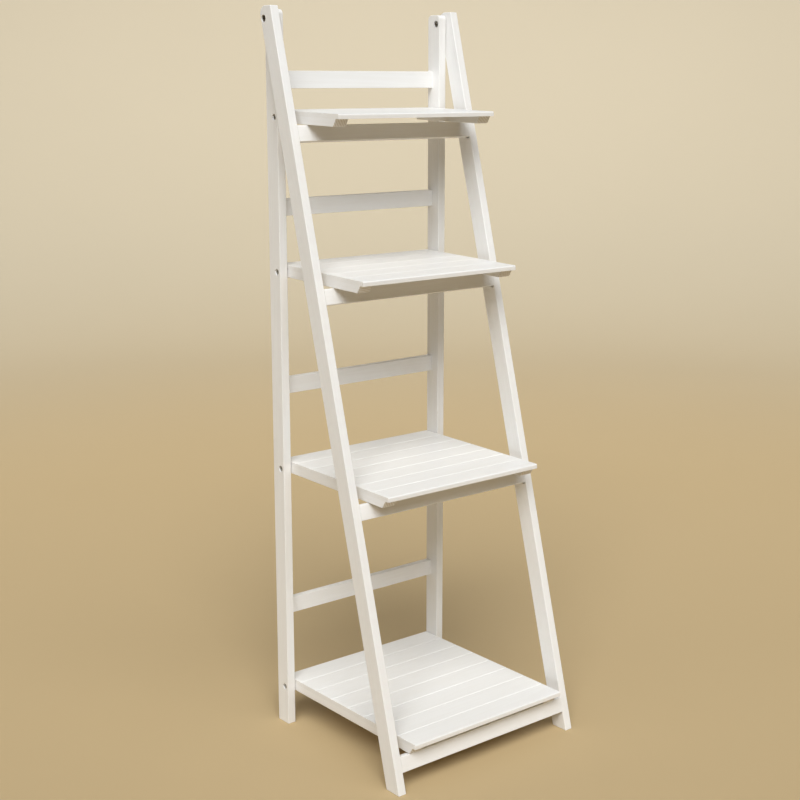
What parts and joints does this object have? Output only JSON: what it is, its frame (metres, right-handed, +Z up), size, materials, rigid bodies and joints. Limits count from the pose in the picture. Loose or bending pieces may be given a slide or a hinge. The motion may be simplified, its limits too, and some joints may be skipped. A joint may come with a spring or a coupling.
{
  "type": "ladder shelf",
  "caption": "Free-standing folding ladder shelf: upright rear frame, slanting front frame hinged at the top, and slatted shelves that grow deeper towards the floor and fold up.",
  "frame": {"origin": "Middle of the footprint of the opened shelf, on the floor", "axes": "+X is the width to the viewer's right when facing the front, +Y points back to the wall, +Z is up"},
  "size_m": [0.48, 0.443, 1.506],
  "materials": {
    "painted_wood": "satin warm white paint over solid softwood, slightly eased edges",
    "steel": "zinc-plated, satin",
    "nylon": "natural white, matt"
  },
  "bodies": {
    "rear_frame": {"rear_upright_left": "painted_wood", "rear_upright_right": "painted_wood", "rear_rail_1": "painted_wood", "rear_rail_2": "painted_wood", "rear_rail_3": "painted_wood", "rear_rail_4": "painted_wood", "top_pivot_bolts": "steel", "top_pivot_nuts": "steel", "top_pivot_washers": "nylon", "shelf_pivot_washers": "nylon"},
    "front_frame": {"front_leg_left": "painted_wood", "front_leg_right": "painted_wood", "front_rail_1": "painted_wood", "front_rail_2": "painted_wood", "front_rail_3": "painted_wood", "front_rail_4": "painted_wood"},
    "shelf_1": {"shelf_1_bearer_left": "painted_wood", "shelf_1_bearer_right": "painted_wood", "shelf_1_pivot_bolts": "steel", "shelf_1_pivot_inserts": "steel", "shelf_1_slat_screws": "steel", "shelf_1_slat_1": "painted_wood", "shelf_1_slat_2": "painted_wood", "shelf_1_slat_3": "painted_wood", "shelf_1_slat_4": "painted_wood"},
    "shelf_2": {"shelf_2_bearer_left": "painted_wood", "shelf_2_bearer_right": "painted_wood", "shelf_2_pivot_bolts": "steel", "shelf_2_pivot_inserts": "steel", "shelf_2_slat_screws": "steel", "shelf_2_slat_1": "painted_wood", "shelf_2_slat_2": "painted_wood", "shelf_2_slat_3": "painted_wood", "shelf_2_slat_4": "painted_wood", "shelf_2_slat_5": "painted_wood"},
    "shelf_3": {"shelf_3_bearer_left": "painted_wood", "shelf_3_bearer_right": "painted_wood", "shelf_3_pivot_bolts": "steel", "shelf_3_pivot_inserts": "steel", "shelf_3_slat_screws": "steel", "shelf_3_slat_1": "painted_wood", "shelf_3_slat_2": "painted_wood", "shelf_3_slat_3": "painted_wood", "shelf_3_slat_4": "painted_wood", "shelf_3_slat_5": "painted_wood", "shelf_3_slat_6": "painted_wood", "shelf_3_slat_7": "painted_wood"},
    "shelf_4": {"shelf_4_bearer_left": "painted_wood", "shelf_4_bearer_right": "painted_wood", "shelf_4_pivot_bolts": "steel", "shelf_4_pivot_inserts": "steel", "shelf_4_slat_screws": "steel", "shelf_4_slat_1": "painted_wood", "shelf_4_slat_2": "painted_wood", "shelf_4_slat_3": "painted_wood", "shelf_4_slat_4": "painted_wood", "shelf_4_slat_5": "painted_wood", "shelf_4_slat_6": "painted_wood", "shelf_4_slat_7": "painted_wood", "shelf_4_slat_8": "painted_wood"}
  },
  "joints": [
    {"name": "front_frame_fold", "type": "hinge", "parent": "rear_frame", "child": "front_frame", "pos_m": [0, 0.19601, 1.4815], "axis": [1, 0, 0], "range_deg": [0, 14]},
    {"name": "shelf_1_fold", "type": "hinge", "parent": "rear_frame", "child": "shelf_1", "pos_m": [0, 0.19601, 1.2925], "axis": [-1, 0, 0], "range_deg": [0, 87.4]},
    {"name": "shelf_2_fold", "type": "hinge", "parent": "rear_frame", "child": "shelf_2", "pos_m": [0, 0.19601, 0.984], "axis": [-1, 0, 0], "range_deg": [0, 89.7]},
    {"name": "shelf_3_fold", "type": "hinge", "parent": "rear_frame", "child": "shelf_3", "pos_m": [0, 0.19601, 0.571], "axis": [-1, 0, 0], "range_deg": [0, 89.3]},
    {"name": "shelf_4_fold", "type": "hinge", "parent": "rear_frame", "child": "shelf_4", "pos_m": [0, 0.19601, 0.0835], "axis": [-1, 0, 0], "range_deg": [0, 88.5]}
  ]
}
